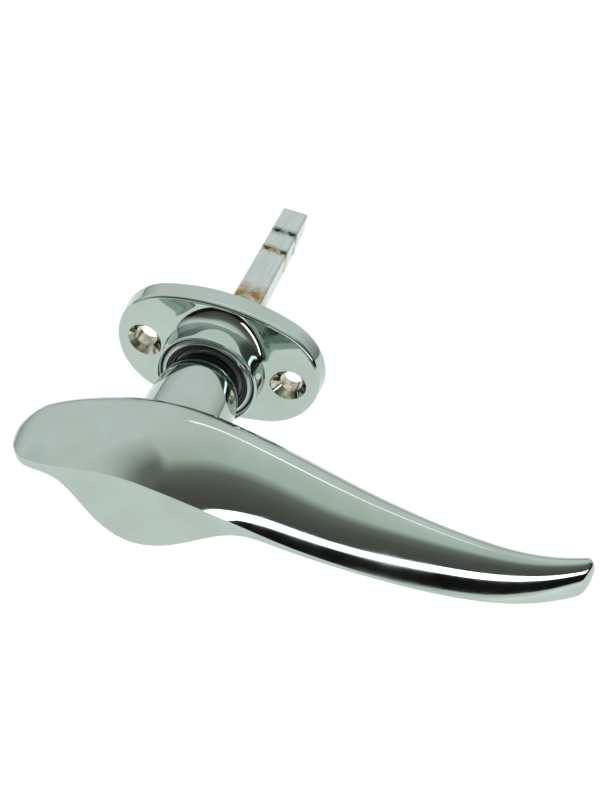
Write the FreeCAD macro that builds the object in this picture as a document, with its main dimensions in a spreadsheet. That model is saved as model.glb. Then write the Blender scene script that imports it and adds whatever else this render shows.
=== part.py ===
import FreeCAD, Part
import math
import os
import re
import Sketcher

# Lever turn handle with an oval rose and a square spindle, in millimetres.
# +X runs along the lever, +Z is up, and -Y points out of the door.
# The origin is on the spindle's axis, in the plane that the rose's back lies on.
# "Forward" distances are measured from that plane, out of the door.

DOC = FreeCAD.newDocument("lever_turn_handle")
SHEET = DOC.addObject("Spreadsheet::Sheet", "Sizes")

SIZES = {
    # rose
    "rose_length": 54.6,
    "rose_width": 35.6,
    "rose_end_radius": 16.0,
    "rim_height": 5.4,
    "rim_inset": 1.4,
    "sweep_width": 2.2,
    "sweep_height": 1.8,
    "sweep_length_extra": 1.2,
    "sweep_end_less": 0.6,
    "collar_foot": 2.6,
    "collar_wall": 1.45,
    "lip_round": 0.6,
    "mouth_room": 1.05,
    "mouth_depth": 4.2,
    "mouth_flare": 0.75,
    "mouth_flare_depth": 2.4,
    "web_thickness": 2.0,
    "chamber_gap": 0.8,
    "screw_spacing": 38.8,
    "screw_hole_radius": 2.9,
    "countersink_radius": 5.1,
    "countersink_depth": 2.2,
    "countersink_rise": 0.8,
    # bearing and seal
    "journal_wall": 1.543,
    "bush_wall": 1.55,
    "bush_flange_step": 1.0,
    "bush_flange_thickness": 0.8,
    "running_clearance": 0.05,
    "face_clearance": 0.05,
    "thrust_washer_step": 1.6,
    "thrust_washer_thickness": 0.5,
    "seal_wall": 0.55,
    "seal_lip_gap": 0.25,
    "seal_height": 3.4,
    "ring_lip": 0.6,
    "o_ring_wire": 0.92,
    # back plate
    "plate_land": 2.75,
    "plate_thickness": 1.2,
    "plate_hole_gap": 0.44,
    "rivet_radius": 0.8,
    "rivet_step": 1.4,
    "rivet_length": 4.0,
    # drive, stops and end stack
    "turn_angle": 45.0,
    "journal_end_gap": 0.5,
    "journal_end_land": 0.5,
    "journal_flat_depth": 0.9,
    "clip_thickness": 1.0,
    "clip_depth": 0.8,
    "clip_step": 1.4,
    "clip_gap_angle": 50.0,
    "stack_step": 1.7,
    "stack_clearance": 0.15,
    "flat_washer_thickness": 0.8,
    "disc_spring_height": 1.75,
    "disc_spring_plate": 0.55,
    "drive_washer_thickness": 1.2,
    "ear_width": 4.4,
    "ear_gap": 0.5,
    "stop_pin_radius": 0.9,
    "stop_pin_gap": 0.4,
    "stop_pin_seat": 1.8,
    "stop_clearance": 0.05,
    # return spring
    "wire_radius": 0.55,
    "coil_gap": 0.8,
    "coil_air": 0.05,
    "coil_turns": 2.5,
    "leg_gap": 0.05,
    # spindle
    "spindle_square": 8.0,
    "spindle_length": 72.6,
    "spindle_seat": 31.0,
    "spindle_edge": 0.25,
    "spindle_bevel_length": 15.0,
    "spindle_bevel_depth": 2.4,
    "groove_spacing": 11.0,
    "first_groove": 46.1,
    "groove_width": 1.6,
    "groove_depth": 1.6,
    "pin_radius": 1.5,
    "pin_forward": 23.0,
    "pin_blind": 2.4,
    "pin_head_sink": 0.4,
    # shank and lever
    "shoulder_step": 0.8,
    "shank_mouth_step": 0.7,
    "shank_flare": 1.8,
    "hub_root_flare": 1.7,
    "hub_root": 36.0,
    "lever_reach": 97.6,
    "nose_reach": 32.4,
    "hub_forward": 43.4,
    "hub_half_height": 12.8,
    "hub_half_depth": 9.5,
    "bow_forward": 44.8,
    "tip_forward": 36.4,
    "lobe_radius": 13.4,
    "lobe_offset": 2.5,
    "lobe_drop": 4.6,
    "lobe_forward": 53.4,
    "lobe_depth": 16.0,
}

# Radii step outwards from the square spindle, and the end stack's thicknesses add up
# from the back plate to the web, so that a changed size carries its neighbours with it.
DERIVED = {
    "spindle_corner": "(spindle_square / sqrt(2))",
    "journal_radius": "(spindle_corner + journal_wall)",
    "journal_flats": "(2 * (journal_radius - journal_flat_depth))",
    "bush_inner": "(journal_radius + running_clearance)",
    "bush_outer": "(bush_inner + bush_wall)",
    "shoulder_radius": "(journal_radius + shoulder_step)",
    "shank_mouth_radius": "(shoulder_radius + shank_mouth_step)",
    "shank_radius": "(shank_mouth_radius + shank_flare)",
    "hub_root_radius": "(shank_radius + hub_root_flare)",
    "thrust_washer_radius": "(shoulder_radius + thrust_washer_step)",
    "bush_flange_radius": "(thrust_washer_radius + bush_flange_step)",
    "mouth_radius": "(bush_flange_radius + mouth_room)",
    "collar_radius": "(mouth_radius + collar_wall)",
    "stack_radius": "(bush_inner - running_clearance + stack_step)",
    "clip_radius": "(journal_radius + clip_step)",
    "coil_radius": "(stack_radius + coil_gap + wire_radius)",
    "stop_circle": "(stack_radius + stop_pin_gap + stop_pin_radius)",
    "chamber_radius": "(coil_radius + wire_radius + chamber_gap)",
    "ear_radius": "(chamber_radius - ear_gap)",
    "plate_radius": "(chamber_radius + plate_land)",
    "plate_hole_radius": "(spindle_corner + plate_hole_gap)",
    "rivet_circle": "(chamber_radius + rivet_step)",
    "journal_end": "(plate_thickness + journal_end_gap)",
    "clip_back": "(journal_end + journal_end_land)",
    "clip_front": "(clip_back + clip_thickness)",
    "washer_back": "(clip_front + stack_clearance)",
    "washer_front": "(washer_back + flat_washer_thickness)",
    "disc_back": "(washer_front + face_clearance)",
    "disc_front": "(disc_back + disc_spring_height)",
    "drive_back": "(disc_front + 2 * face_clearance)",
    "drive_front": "(drive_back + drive_washer_thickness)",
    "web_back": "(drive_front + stack_clearance)",
    "web_front": "(web_back + web_thickness)",
    "flange_front": "(web_front + bush_flange_thickness)",
    "shoulder_back": "(flange_front + thrust_washer_thickness + 2 * face_clearance)",
    "collar_height": "(web_front + mouth_depth)",
    "o_ring_forward": "(web_back + web_thickness / 2)",
    "coil_pitch": "(2 * wire_radius + coil_air)",
    "coil_back": "(plate_thickness + leg_gap + wire_radius)",
    "coil_front": "(coil_back + coil_pitch * coil_turns)",
    "stop_pin_back": "(coil_front + wire_radius + 3 * leg_gap)",
}

# Lever sections from the nose to the tip: place as a share of the reach on that side,
# half height and half depth as shares of the hub's, lean in degrees, height of the centre
# as a share of the hub's half height, and forward place from the hub's (0) to the bow's
# (1, or more on the nose) or, past the bow, to the tip's (2).
LEVER_SECTIONS = [
    ("nose_end", -1.00, 0.30, 0.22, 42.0, 0.02, 3.10),
    ("nose_round", -0.95, 0.48, 0.34, 42.0, 0.04, 3.05),
    ("nose", -0.84, 0.60, 0.42, 41.0, 0.06, 2.90),
    ("nose_waist", -0.60, 0.76, 0.58, 36.0, 0.06, 2.10),
    ("nose_root", -0.34, 0.90, 0.80, 26.0, 0.05, 0.95),
    ("hub", 0.00, 1.00, 1.00, 14.0, 0.02, 0.00),
    ("hub_side", 0.14, 0.965, 0.92, 8.0, 0.00, -0.55),
    ("arm_root", 0.27, 0.88, 0.75, 2.0, 0.00, -0.60),
    ("arm_near", 0.38, 0.81, 0.66, 0.0, 0.00, -0.15),
    ("arm_middle", 0.50, 0.73, 0.59, 0.0, 0.00, 0.60),
    ("arm_bow", 0.63, 0.64, 0.52, 0.0, 0.00, 1.00),
    ("arm_far", 0.74, 0.56, 0.455, 0.0, 0.00, 1.06),
    ("arm_end", 0.83, 0.495, 0.40, 0.0, 0.00, 1.24),
    ("tip", 0.92, 0.42, 0.345, 0.0, 0.00, 1.62),
    ("tip_round", 0.975, 0.32, 0.27, 0.0, 0.00, 1.90),
    ("tip_end", 1.00, 0.17, 0.15, 0.0, 0.00, 2.00),
]

X_AXIS = FreeCAD.Vector(1, 0, 0)
Y_AXIS = FreeCAD.Vector(0, 1, 0)
Z_AXIS = FreeCAD.Vector(0, 0, 1)
ROOT_POINT = -1


def fillSheet():
    for row, (name, value) in enumerate(SIZES.items(), start=1):
        SHEET.set(f"A{row}", name)
        SHEET.set(f"B{row}", str(value))
        SHEET.setAlias(f"B{row}", name)
    DOC.recompute()


def sheetText(expression):
    """Spell out the derived names, and put the sheet's name before each alias."""
    def spelled(match):
        word = match.group(0)
        if word in DERIVED:
            return sheetText(DERIVED[word])
        return f"Sizes.{word}" if word in SIZES else word
    return re.sub(r"[a-z][a-z_]*", spelled, expression)


def valueOf(expression):
    """Work out an expression of aliases, to start a sketch near its solved shape."""
    probe = DOC.addObject("App::FeaturePython", "Probe")
    probe.addProperty("App::PropertyFloat", "Answer")
    probe.setExpression("Answer", sheetText(expression))
    probe.recompute()
    answer = probe.Answer
    DOC.removeObject(probe.Name)
    return answer


def newBody(name):
    body = DOC.addObject("PartDesign::Body", name)
    body.Label = name
    return body


def originPlane(body, role):
    return next(item for item in body.Origin.OriginFeatures if item.Role == role)


def newSketch(body, name, role, offset=None):
    sketch = body.newObject("Sketcher::SketchObject", name)
    sketch.AttachmentSupport = [(originPlane(body, role), "")]
    sketch.MapMode = "FlatFace"
    if offset:
        sketch.AttachmentOffset = offset
    return sketch


def placePoint(sketch, geometry, end, across, up):
    """Tie one point of a sketch to two expressions, measured from the sketch's origin."""
    for kind, expression in (("DistanceX", across), ("DistanceY", up)):
        start = valueOf(expression)
        constraint = Sketcher.Constraint(kind, ROOT_POINT, 1, geometry, end, start)
        index = sketch.addConstraint(constraint)
        sketch.setExpression(f"Constraints[{index}]", sheetText(expression))


def polygon(sketch, points):
    """Close a polygon whose corners follow pairs of expressions."""
    corners = [FreeCAD.Vector(valueOf(a), valueOf(b), 0) for a, b in points]
    first = sketch.GeometryCount
    count = len(points)
    for number in range(count):
        following = corners[(number + 1) % count]
        sketch.addGeometry(Part.LineSegment(corners[number], following))
    for number in range(count):
        after = first + (number + 1) % count
        sketch.addConstraint(Sketcher.Constraint("Coincident", first + number, 2, after, 1))
    for number, (across, up) in enumerate(points):
        placePoint(sketch, first + number, 1, across, up)


def circle(sketch, radius, across="0", up="0"):
    centre = FreeCAD.Vector(valueOf(across), valueOf(up), 0)
    ring = sketch.addGeometry(Part.Circle(centre, Z_AXIS, valueOf(radius)))
    placePoint(sketch, ring, 3, across, up)
    index = sketch.addConstraint(Sketcher.Constraint("Radius", ring, valueOf(radius)))
    sketch.setExpression(f"Constraints[{index}]", sheetText(radius))
    return ring


def turned(body, name, points, cut=False, angle=360.0):
    """Turn a profile of (radius, forward) corners about the spindle's axis."""
    flipped = FreeCAD.Placement(FreeCAD.Vector(), FreeCAD.Rotation(X_AXIS, 180))
    sketch = newSketch(body, f"{name}_profile", "XY_Plane", flipped)
    polygon(sketch, points)
    kind = "PartDesign::Groove" if cut else "PartDesign::Revolution"
    feature = body.newObject(kind, name)
    feature.Profile = sketch
    feature.ReferenceAxis = (sketch, ["V_Axis"])
    feature.Angle = angle
    return feature


def faceSketch(body, name, forward):
    """A sketch facing out of the door at a forward distance: across is X and up is Z."""
    sketch = newSketch(body, name, "XZ_Plane")
    sketch.setExpression("AttachmentOffset.Base.z", sheetText(forward))
    return sketch


def padded(body, name, sketch, length):
    pad = body.newObject("PartDesign::Pad", name)
    pad.Profile = sketch
    pad.setExpression("Length", sheetText(length))
    return pad


def pocketed(body, name, sketch, length, outwards=True):
    """Cut a sketch's shape, and make sure that the cut took something away."""
    before = body.Shape.Volume
    pocket = body.newObject("PartDesign::Pocket", name)
    pocket.Profile = sketch
    pocket.Reversed = outwards
    pocket.setExpression("Length", sheetText(length))
    DOC.recompute()
    if not body.Shape.Volume < before:
        raise ValueError(f"{name} cuts nothing")
    return pocket


def ring(name, inner, outer, back, front):
    """A plain ring between two radii and two forward distances."""
    body = newBody(name)
    turned(body, f"{name}_ring", [(inner, back), (outer, back), (outer, front), (inner, front)])
    return body


def ovalOutline(sketch, length, width, end):
    """An oval of two end arcs and two flatter side arcs, tangent to each other."""
    half = f"({length} / 2 - {end})"
    side = f"(({half}^2 + ({width} / 2)^2 - {end}^2) / ({width} - 2 * {end}))"
    across = f"({side} * {half} / ({side} - {end}))"
    up = f"({width} / 2 - {side} + {side} * ({side} - {width} / 2) / ({side} - {end}))"
    endRadius = valueOf(end)
    sideRadius = valueOf(side)
    halfValue = valueOf(half)
    drop = valueOf(f"{width} / 2") - sideRadius
    lean = math.atan2(-drop, halfValue)
    arcs = [
        (halfValue, 0, endRadius, -lean, lean),
        (0, drop, sideRadius, lean, math.pi - lean),
        (-halfValue, 0, endRadius, math.pi - lean, math.pi + lean),
        (0, -drop, sideRadius, math.pi + lean, 2 * math.pi - lean),
    ]
    corners = [(across, f"-{up}"), (across, up), (f"-{across}", up), (f"-{across}", f"-{up}")]
    for x, z, radius, start, finish in arcs:
        whole = Part.Circle(FreeCAD.Vector(x, z, 0), Z_AXIS, radius)
        sketch.addGeometry(Part.ArcOfCircle(whole, start, finish))
    for number in range(4):
        after = (number + 1) % 4
        sketch.addConstraint(Sketcher.Constraint("Coincident", number, 2, after, 1))
    for number, radius in enumerate((end, side) * 2):
        index = sketch.addConstraint(Sketcher.Constraint("Radius", number, valueOf(radius)))
        sketch.setExpression(f"Constraints[{index}]", sheetText(radius))
    for number, (x, z) in enumerate(corners):
        placePoint(sketch, number, 1, x, z)


def makeRose():
    """Oval rim, a face that sweeps up to a round collar, and the chambers inside."""
    body = newBody("rose")
    rim = faceSketch(body, "rim_outline", "0")
    ovalOutline(rim, "rose_length", "rose_width", "rose_end_radius")
    padded(body, "rim", rim, "rim_height")
    foot = faceSketch(body, "sweep_foot", "rim_height")
    ovalOutline(foot, "(rose_length - 2 * rim_inset)", "(rose_width - 2 * rim_inset)",
                "(rose_end_radius - rim_inset)")
    head = faceSketch(body, "sweep_head", "rim_height + sweep_height")
    headRadius = "(collar_radius + sweep_width)"
    ovalOutline(head, f"(2 * {headRadius} + sweep_length_extra)", f"(2 * {headRadius})",
                f"({headRadius} - sweep_end_less)")
    sweep = body.newObject("PartDesign::AdditiveLoft", "sweep")
    sweep.Profile = foot
    sweep.Sections = [head]
    DOC.recompute()
    turned(body, "collar", [
        ("0", "rim_height"),
        (headRadius, "rim_height"),
        (headRadius, "rim_height + sweep_height"),
        ("collar_radius", "rim_height + sweep_height + collar_foot"),
        ("collar_radius", "collar_height - lip_round"),
        ("collar_radius - lip_round / 2", "collar_height"),
        ("0", "collar_height"),
    ])
    DOC.recompute()
    before = body.Shape.Volume
    turned(body, "chambers", [
        ("0", "collar_height + 1"),
        ("mouth_radius + mouth_flare", "collar_height + 1"),
        ("mouth_radius + mouth_flare", "collar_height"),
        ("mouth_radius", "collar_height - mouth_flare_depth"),
        ("mouth_radius", "web_front"),
        ("bush_outer", "web_front"),
        ("bush_outer", "web_back"),
        ("chamber_radius", "web_back"),
        ("chamber_radius", "plate_thickness"),
        ("plate_radius", "plate_thickness"),
        ("plate_radius", "-1"),
        ("0", "-1"),
    ], cut=True)
    DOC.recompute()
    if not body.Shape.Volume < before:
        raise ValueError("chambers cuts nothing")
    holes = faceSketch(body, "screw_hole_centres", "0")
    for side in ("-", ""):
        circle(holes, "screw_hole_radius", f"{side}screw_spacing / 2")
    pocketed(body, "screw_holes", holes, "collar_height")
    cutCountersinks(body)
    rivets = faceSketch(body, "rivet_hole_centres", "0")
    for side in ("-", ""):
        circle(rivets, "rivet_radius", "0", f"{side}rivet_circle")
    pocketed(body, "rivet_holes", rivets, "rivet_length + face_clearance")
    pins = faceSketch(body, "stop_pin_holes", "web_back")
    for x, z in stopPinCentres():
        circle(pins, "stop_pin_radius", x, z)
    pocketed(body, "stop_pin_seats", pins, "stop_pin_seat")


def cutCountersinks(body):
    """A cone at each screw hole, whose mouth is a cylinder up through the swept face."""
    faceForward = "(rim_height + countersink_rise)"
    for name, side in (("left", "-"), ("right", "")):
        flipped = FreeCAD.Placement(FreeCAD.Vector(), FreeCAD.Rotation(X_AXIS, 180))
        sketch = newSketch(body, f"countersink_{name}_profile", "XY_Plane", flipped)
        sketch.setExpression("AttachmentOffset.Base.x", sheetText(f"{side}screw_spacing / 2"))
        polygon(sketch, [
            ("0", f"{faceForward} - countersink_depth"),
            ("screw_hole_radius", f"{faceForward} - countersink_depth"),
            ("countersink_radius", faceForward),
            ("countersink_radius", "collar_height + 1"),
            ("0", "collar_height + 1"),
        ])
        before = body.Shape.Volume
        cone = body.newObject("PartDesign::Groove", f"countersink_{name}")
        cone.Profile = sketch
        cone.ReferenceAxis = (sketch, ["V_Axis"])
        cone.Angle = 360.0
        DOC.recompute()
        if not body.Shape.Volume < before:
            raise ValueError(f"countersink_{name} cuts nothing")


def stopPinCentres():
    """Both stop pins, on a circle, one each side of the ear's travel from straight up."""
    reach = "asin((ear_width / 2 + stop_pin_radius + stop_clearance) / stop_circle)"
    rest = f"({reach})"
    full = f"({reach} + turn_angle * 1 deg)"
    return [
        (f"-stop_circle * sin({rest})", f"stop_circle * cos({rest})"),
        (f"stop_circle * sin({full})", f"stop_circle * cos({full})"),
    ]


def makeBush():
    body = newBody("bearing_bush")
    turned(body, "bush_turned", [
        ("bush_inner", "web_back"),
        ("bush_outer", "web_back"),
        ("bush_outer", "web_front"),
        ("bush_flange_radius", "web_front"),
        ("bush_flange_radius", "flange_front"),
        ("bush_inner", "flange_front"),
    ])


def makeMouthPieces():
    """The rubber seal round the shank, and the bright ring that holds it in the mouth."""
    wall = "mouth_radius - seal_wall"
    top = "web_front + seal_height"
    body = newBody("mouth_seal")
    turned(body, "seal_turned", [
        ("bush_flange_radius + 0.1", "web_front"),
        (wall, "web_front"),
        (wall, f"{top} - 0.6"),
        (f"{wall} - ring_lip", f"{top} - 0.15"),
        (f"{wall} - ring_lip - 0.9", top),
        ("shank_mouth_radius - 0.1", f"{top} - 0.1"),
        ("shank_mouth_radius - seal_lip_gap", f"{top} - 0.7"),
        ("thrust_washer_radius + 0.2", "flange_front + 0.8"),
        ("bush_flange_radius + 0.1", "flange_front + 0.8"),
    ])
    body = newBody("mouth_ring")
    turned(body, "ring_turned", [
        (wall, "web_front"),
        ("mouth_radius", "web_front"),
        ("mouth_radius", f"{top} - 0.3"),
        (f"{wall} + 0.1", f"{top} + 0.2"),
        (f"{wall} - ring_lip", f"{top} + 0.35"),
        (f"{wall} - ring_lip", f"{top} - 0.05"),
        (wall, f"{top} - 0.5"),
    ])


def makeBackPlate():
    body = newBody("back_plate")
    sketch = faceSketch(body, "plate_outline", "0")
    circle(sketch, "plate_radius")
    circle(sketch, "plate_hole_radius")
    for side in ("-", ""):
        circle(sketch, "rivet_radius", "0", f"{side}rivet_circle")
    x, z = springLegCentre()
    circle(sketch, "wire_radius + leg_gap", x, z)
    padded(body, "plate", sketch, "plate_thickness")
    body = newBody("back_plate_rivets")
    sketch = faceSketch(body, "rivet_outlines", "0")
    circle(sketch, "rivet_radius", "0", "rivet_circle")
    padded(body, "upper_rivet", sketch, "rivet_length")
    lower = DOC.addObject("Part::Cylinder", "lower_rivet")
    lower.setExpression("Radius", sheetText("rivet_radius"))
    lower.setExpression("Height", sheetText("rivet_length"))
    lower.Placement = FreeCAD.Placement(FreeCAD.Vector(), FreeCAD.Rotation(X_AXIS, 90))
    lower.setExpression("Placement.Base.z", sheetText("-rivet_circle"))
    groupOf("back_plate_rivets", [body, lower])


def groupOf(label, members):
    """Join separate solids of one kind in one object, without fusing them."""
    group = DOC.addObject("Part::Compound", f"{label}_group")
    group.Links = members
    for member in members:
        member.Label = f"{label}_member_{member.Name}"
    group.Label = label


def makeStopPins():
    members = []
    for number, (x, z) in enumerate(stopPinCentres(), start=1):
        pin = DOC.addObject("Part::Cylinder", f"stop_pin_{number}")
        pin.setExpression("Radius", sheetText("stop_pin_radius"))
        pin.setExpression("Height", sheetText("web_back + stop_pin_seat - stop_pin_back"))
        pin.Placement = FreeCAD.Placement(FreeCAD.Vector(), FreeCAD.Rotation(X_AXIS, 90))
        pin.setExpression("Placement.Base.x", sheetText(x))
        pin.setExpression("Placement.Base.y", sheetText("-stop_pin_back"))
        pin.setExpression("Placement.Base.z", sheetText(z))
        members.append(pin)
    groupOf("stop_pins", members)


def springLegAngles():
    """Angles from straight up towards +X: the moving leg by the ear, and the fixed leg."""
    reach = valueOf("ear_width / 2 + wire_radius + leg_gap")
    moving = math.asin(reach / valueOf("coil_radius"))
    fixed = moving - 2 * math.pi * valueOf("coil_turns")
    return moving, fixed


def springLegCentre():
    moving = "asin((ear_width / 2 + wire_radius + leg_gap) / coil_radius)"
    fixed = f"({moving} - coil_turns * 360 deg)"
    return f"coil_radius * sin({fixed})", f"coil_radius * cos({fixed})"


def makeReturnSpring():
    """A coil round the spindle's axis with a leg at each end along that axis."""
    wire = valueOf("wire_radius")
    radius = valueOf("coil_radius")
    pitch = valueOf("coil_pitch")
    turns = valueOf("coil_turns")
    low = valueOf("coil_back")
    high = valueOf("coil_front")
    moving, fixed = springLegAngles()
    helix = Part.makeHelix(pitch, pitch * turns, radius)
    start = FreeCAD.Vector(radius, 0, 0)
    tangent = FreeCAD.Vector(0, radius, pitch / (2 * math.pi))
    section = Part.Wire(Part.makeCircle(wire, start, tangent))
    coil = Part.Wire(helix).makePipeShell([section], True, True)
    # the helix climbs along +Z from +X, so it is laid along -Y and turned to its fixed leg
    coil.rotate(FreeCAD.Vector(), X_AXIS, 90)
    coil.rotate(FreeCAD.Vector(), Y_AXIS, math.degrees(fixed) - 90)
    coil.translate(FreeCAD.Vector(0, -low, 0))
    legs = [
        (fixed, 0.0, low, low),
        (moving, high, valueOf("drive_front - stack_clearance"), high),
    ]
    # the elbow is as thick as the wire; where that join drops the coil, because their
    # surfaces coincide, the next larger elbow is tried
    for swell in (1.0, 1.1, 1.14, 1.18):
        solid = coil
        for angle, back, front, bend in legs:
            across, up = radius * math.sin(angle), radius * math.cos(angle)
            foot = FreeCAD.Vector(across, -back, up)
            solid = solid.fuse(Part.makeCylinder(wire, front - back, foot, -Y_AXIS))
            middle = FreeCAD.Vector(across, -bend, up)
            solid = solid.fuse(Part.makeSphere(swell * wire, middle))
        if solid.isValid() and len(solid.Solids) == 1 and solid.Volume > coil.Volume:
            break
    else:
        raise ValueError("return_spring lost its coil")
    spring = DOC.addObject("Part::Feature", "return_spring")
    spring.Label = "return_spring"
    spring.Shape = solid.removeSplitter()


def makeEndStack():
    """Circlip, flat washer and disc spring behind the drive washer, on the journal."""
    body = newBody("circlip")
    clip = turned(body, "clip_turned", [
        ("journal_radius - clip_depth", "clip_back + face_clearance"),
        ("clip_radius", "clip_back + face_clearance"),
        ("clip_radius", "clip_front - face_clearance"),
        ("journal_radius - clip_depth", "clip_front - face_clearance"),
    ])
    clip.setExpression("Angle", sheetText("360 - clip_gap_angle"))
    ring("flat_washer", "bush_inner", "stack_radius", "washer_back", "washer_front")
    body = newBody("disc_spring")
    turned(body, "disc_spring_turned", [
        ("bush_inner", "disc_back"),
        ("stack_radius", "disc_front - disc_spring_plate"),
        ("stack_radius", "disc_front"),
        ("bush_inner", "disc_back + disc_spring_plate"),
    ])


def makeDriveWasher():
    body = newBody("drive_washer")
    back = "drive_back"
    disc = faceSketch(body, "washer_outline", back)
    circle(disc, "stack_radius")
    padded(body, "washer", disc, "drive_washer_thickness")
    ear = faceSketch(body, "ear_outline", back)
    polygon(ear, [
        ("-ear_width / 2", "journal_radius"),
        ("ear_width / 2", "journal_radius"),
        ("ear_width / 2", "ear_radius"),
        ("-ear_width / 2", "ear_radius"),
    ])
    padded(body, "ear", ear, "drive_washer_thickness")
    DOC.recompute()
    hole = faceSketch(body, "keyed_hole", back)
    flattedOutline(hole, "bush_inner", "(journal_flats / 2 + running_clearance)")
    pocketed(body, "washer_hole", hole, "drive_washer_thickness")


def flattedOutline(sketch, radius, flat):
    """A circle with a flat on its left and right."""
    radiusValue = valueOf(radius)
    flatValue = valueOf(flat)
    lean = math.acos(flatValue / radiusValue)
    top = f"sqrt({radius}^2 - {flat}^2)"
    whole = Part.Circle(FreeCAD.Vector(), Z_AXIS, radiusValue)
    height = radiusValue * math.sin(lean)
    sketch.addGeometry(Part.LineSegment(FreeCAD.Vector(flatValue, -height, 0),
                                        FreeCAD.Vector(flatValue, height, 0)))
    sketch.addGeometry(Part.ArcOfCircle(whole, lean, math.pi - lean))
    sketch.addGeometry(Part.LineSegment(FreeCAD.Vector(-flatValue, height, 0),
                                        FreeCAD.Vector(-flatValue, -height, 0)))
    sketch.addGeometry(Part.ArcOfCircle(whole, math.pi + lean, 2 * math.pi - lean))
    for number in range(4):
        after = (number + 1) % 4
        sketch.addConstraint(Sketcher.Constraint("Coincident", number, 2, after, 1))
    corners = [(flat, f"-{top}"), (flat, top), (f"-{flat}", top), (f"-{flat}", f"-{top}")]
    for number, (x, z) in enumerate(corners):
        placePoint(sketch, number, 1, x, z)
    for arc in (1, 3):
        index = sketch.addConstraint(Sketcher.Constraint("Radius", arc, radiusValue))
        sketch.setExpression(f"Constraints[{index}]", sheetText(radius))


def makeSpindle():
    """Square bar with chamfered arrises, turned break-off grooves and a bevelled end."""
    body = newBody("spindle")
    section = faceSketch(body, "square", "-spindle_length")
    half = "spindle_square / 2"
    cut = f"({half} - spindle_edge)"
    polygon(section, [
        (cut, f"-{half}"), (half, f"-{cut}"), (half, cut), (cut, half),
        (f"-{cut}", half), (f"-{half}", cut), (f"-{half}", f"-{cut}"), (f"-{cut}", f"-{half}"),
    ])
    padded(body, "bar", section, "spindle_length + spindle_seat")
    DOC.recompute()
    root = "spindle_corner - groove_depth"
    for number in range(2):
        centre = f"(-first_groove - {number} * groove_spacing)"
        turned(body, f"groove_{number + 1}", [
            (root, f"{centre} - groove_width / 2"),
            ("spindle_square", f"{centre} - groove_width / 2"),
            ("spindle_square", f"{centre} + groove_width / 2"),
            (root, f"{centre} + groove_width / 2"),
        ], cut=True)
    DOC.recompute()
    bevel = newSketch(body, "bevel_profile", "YZ_Plane")
    end = "spindle_length"
    polygon(bevel, [
        (f"{end} - spindle_bevel_length", f"-{half}"),
        (end, f"-{half} + spindle_bevel_depth"),
        (f"{end} + 1", f"-{half} + spindle_bevel_depth"),
        (f"{end} + 1", f"-{half} - 1"),
        (f"{end} - spindle_bevel_length", f"-{half} - 1"),
    ])
    cutAcross(body, "bevel", bevel)
    crown = newSketch(body, "crown_profile", "YZ_Plane")
    polygon(crown, [
        (f"{end} - 1.6", f"{half} + 1"),
        (f"{end} - 1.6", half),
        (end, f"{half} - 1.8"),
        (f"{end} + 1", f"{half} - 1.8"),
        (f"{end} + 1", f"{half} + 1"),
    ])
    cutAcross(body, "crown", crown)
    pinHole(body, "spindle_pin_hole")
    return body


def cutAcross(body, name, sketch):
    """Cut a profile seen from the side right across the piece."""
    before = body.Shape.Volume
    pocket = body.newObject("PartDesign::Pocket", name)
    pocket.Profile = sketch
    pocket.Midplane = True
    pocket.setExpression("Length", sheetText("spindle_square * 2"))
    DOC.recompute()
    if not body.Shape.Volume < before:
        raise ValueError(f"{name} cuts nothing")


def pinHole(body, name):
    """The blind hole for the spindle pin, drilled upwards from under the shank."""
    sketch = newSketch(body, f"{name}_circle", "XY_Plane")
    sketch.setExpression("AttachmentOffset.Base.z", sheetText("spindle_square / 2 + pin_blind"))
    circle(sketch, "pin_radius", "0", "-pin_forward")
    before = body.Shape.Volume
    pocket = body.newObject("PartDesign::Pocket", name)
    pocket.Profile = sketch
    pocket.setExpression("Length", sheetText("hub_root_radius * 2 + spindle_square"))
    DOC.recompute()
    if not body.Shape.Volume < before:
        raise ValueError(f"{name} cuts nothing")


def makeSpindlePin():
    pin = DOC.addObject("Part::Cylinder", "spindle_pin")
    pin.Label = "spindle_pin"
    bottom = "(shank_radius - pin_head_sink)"
    pin.setExpression("Radius", sheetText("pin_radius"))
    pin.setExpression("Height", sheetText(f"{bottom} + spindle_square / 2 + pin_blind - 0.3"))
    pin.setExpression("Placement.Base.y", sheetText("-pin_forward"))
    pin.setExpression("Placement.Base.z", sheetText(f"-{bottom}"))


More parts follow.
